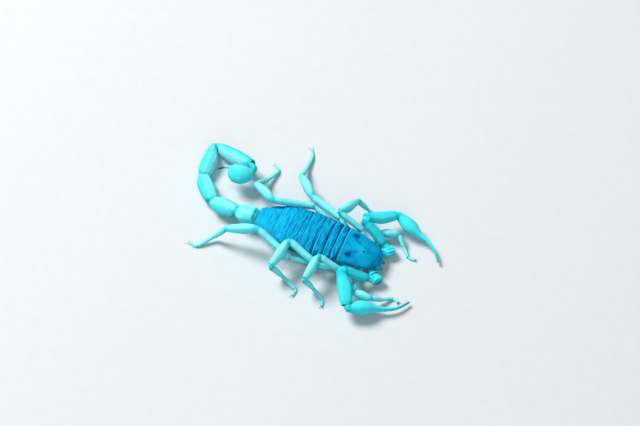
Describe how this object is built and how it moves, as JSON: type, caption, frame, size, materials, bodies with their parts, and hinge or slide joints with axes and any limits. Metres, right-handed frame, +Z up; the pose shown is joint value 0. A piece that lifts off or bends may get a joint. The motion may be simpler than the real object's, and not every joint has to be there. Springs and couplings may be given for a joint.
{
  "type": "desert scorpion model",
  "caption": "Still, life-size scorpion standing on its legs, with slim pincers held forward and the tail laid in a low curl with the sting folded back.",
  "frame": {"origin": "centre of the outer box on the floor plane, below the mid-body between the rows of legs", "axes": "+Y from the head towards the tail, along the trunk; +X towards the animal's left side; +Z up"},
  "size_m": [0.0378, 0.0568, 0.0076],
  "materials": {
    "carapace": "granular chitin, glowing deep blue-cyan under blue light",
    "tergite": "finely granular chitin plates with pale rear rims, blue-cyan",
    "leg": "smooth chitin with a soft sheen, pale aqua",
    "pedipalp": "smooth chitin with a soft sheen, turquoise",
    "tail": "keeled chitin with a soft sheen, pale aqua",
    "sting": "glossy dark sting",
    "eye": "glossy black-blue eye lens",
    "comb": "thin pale chitin of the combs",
    "underside": "smooth chitin of the breast plate"
  },
  "bodies": {
    "root": {"carapace": "carapace", "median_eye_left": "eye", "median_eye_right": "eye", "chelicera_left": "pedipalp", "chelicera_right": "pedipalp", "left_pedipalp_trochanter": "pedipalp", "left_pedipalp_femur": "pedipalp", "left_pedipalp_patella": "pedipalp", "left_pedipalp_palm": "pedipalp", "left_pedipalp_movable_finger": "pedipalp", "right_pedipalp_trochanter": "pedipalp", "right_pedipalp_femur": "pedipalp", "right_pedipalp_patella": "pedipalp", "right_pedipalp_palm": "pedipalp", "right_pedipalp_movable_finger": "pedipalp", "left_leg_1_femur": "leg", "left_leg_1_patella": "leg", "left_leg_1_foot": "leg", "left_leg_2_femur": "leg", "left_leg_2_patella": "leg", "left_leg_2_foot": "leg", "left_leg_3_femur": "leg", "left_leg_3_patella": "leg", "left_leg_3_foot": "leg", "left_leg_4_femur": "leg", "left_leg_4_patella": "leg", "left_leg_4_foot": "leg", "right_leg_1_femur": "leg", "right_leg_1_patella": "leg", "right_leg_1_foot": "leg", "right_leg_2_femur": "leg", "right_leg_2_patella": "leg", "right_leg_2_foot": "leg", "right_leg_3_femur": "leg", "right_leg_3_patella": "leg", "right_leg_3_foot": "leg", "right_leg_4_femur": "leg", "right_leg_4_patella": "leg", "right_leg_4_foot": "leg", "mesosoma_1": "tergite", "mesosoma_2": "tergite", "mesosoma_3": "tergite", "mesosoma_4": "tergite", "mesosoma_5": "tergite", "mesosoma_6": "tergite", "mesosoma_7": "tergite", "sternum": "underside", "pecten_left": "comb", "pecten_right": "comb", "metasoma_1": "tail", "metasoma_2": "tail", "metasoma_3": "tail", "metasoma_4": "tail", "metasoma_5": "tail", "vesicle": "tail", "aculeus": "sting"}
  },
  "joints": []
}
